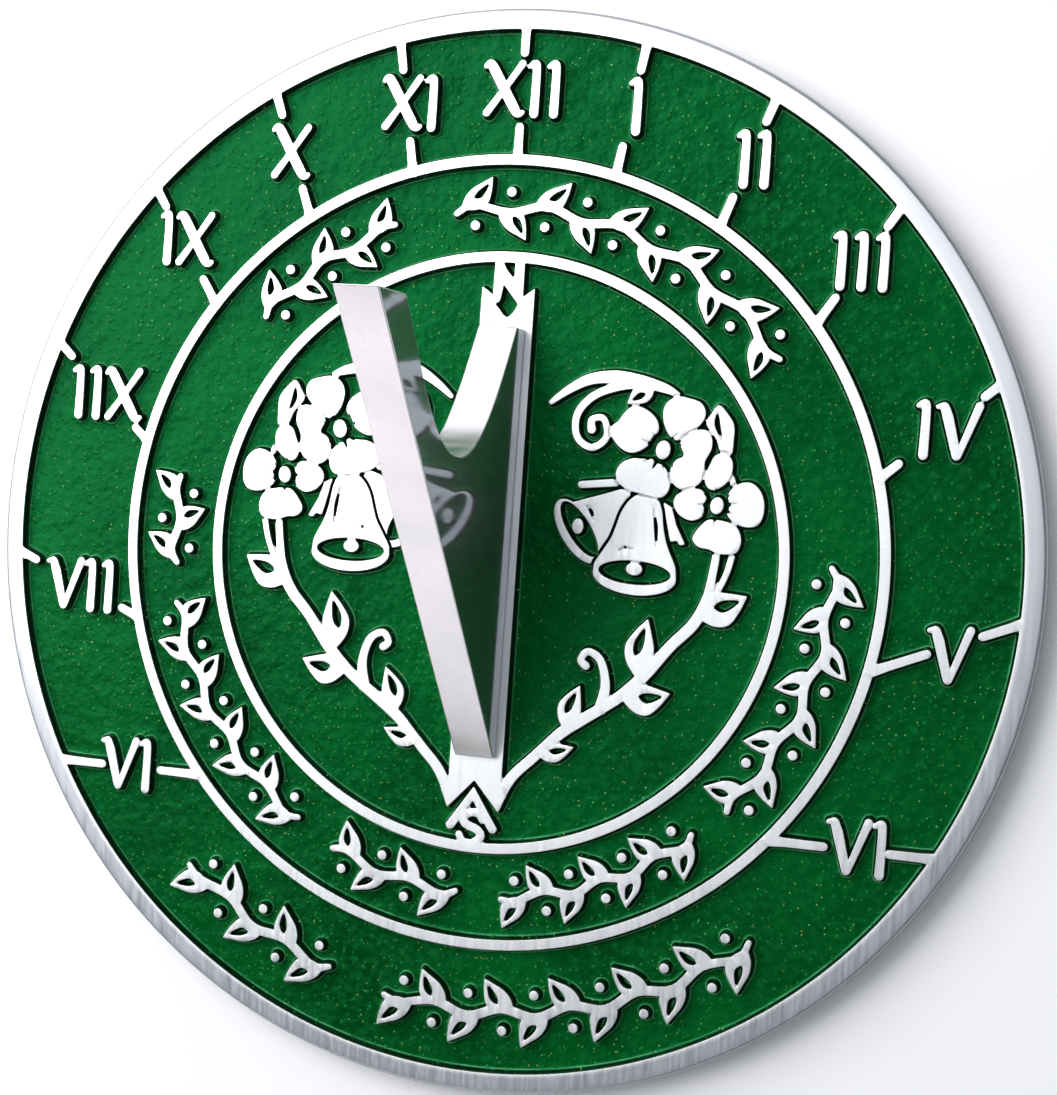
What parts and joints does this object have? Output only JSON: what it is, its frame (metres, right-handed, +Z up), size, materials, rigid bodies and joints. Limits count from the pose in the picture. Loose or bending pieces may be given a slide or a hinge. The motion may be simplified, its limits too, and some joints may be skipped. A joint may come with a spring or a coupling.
{
  "type": "garden sundial",
  "caption": "Round cast aluminium dial with roman hour numerals, green enamel fields, a floral heart garland in relief and a slanted polished gnomon on a raised compass bar",
  "frame": {"origin": "centre of the dial's underside, which is the bottom centre of the bounding box", "axes": "+Z up, the direction the gnomon stands in; +Y to the XII mark and true north; +X to the afternoon hours"},
  "size_m": [0.1998, 0.1998, 0.0843],
  "materials": {
    "dial_plate": "sand-cast aluminium, raised tops brushed bright, rim satin",
    "enamel": "glossy green enamel over a sand-cast floor, with a fine pale glitter",
    "gnomon": "polished flanks, satin style face",
    "fixings": "plain stainless steel"
  },
  "bodies": {
    "root": {"dial_plate": "dial_plate", "outer_enamel": "enamel", "middle_enamel": "enamel", "centre_enamel_east": "enamel", "centre_enamel_west": "enamel", "gnomon": "gnomon", "gnomon_screw_south": "fixings", "gnomon_screw_north": "fixings", "gnomon_washer_south": "fixings", "gnomon_washer_north": "fixings"}
  },
  "joints": []
}
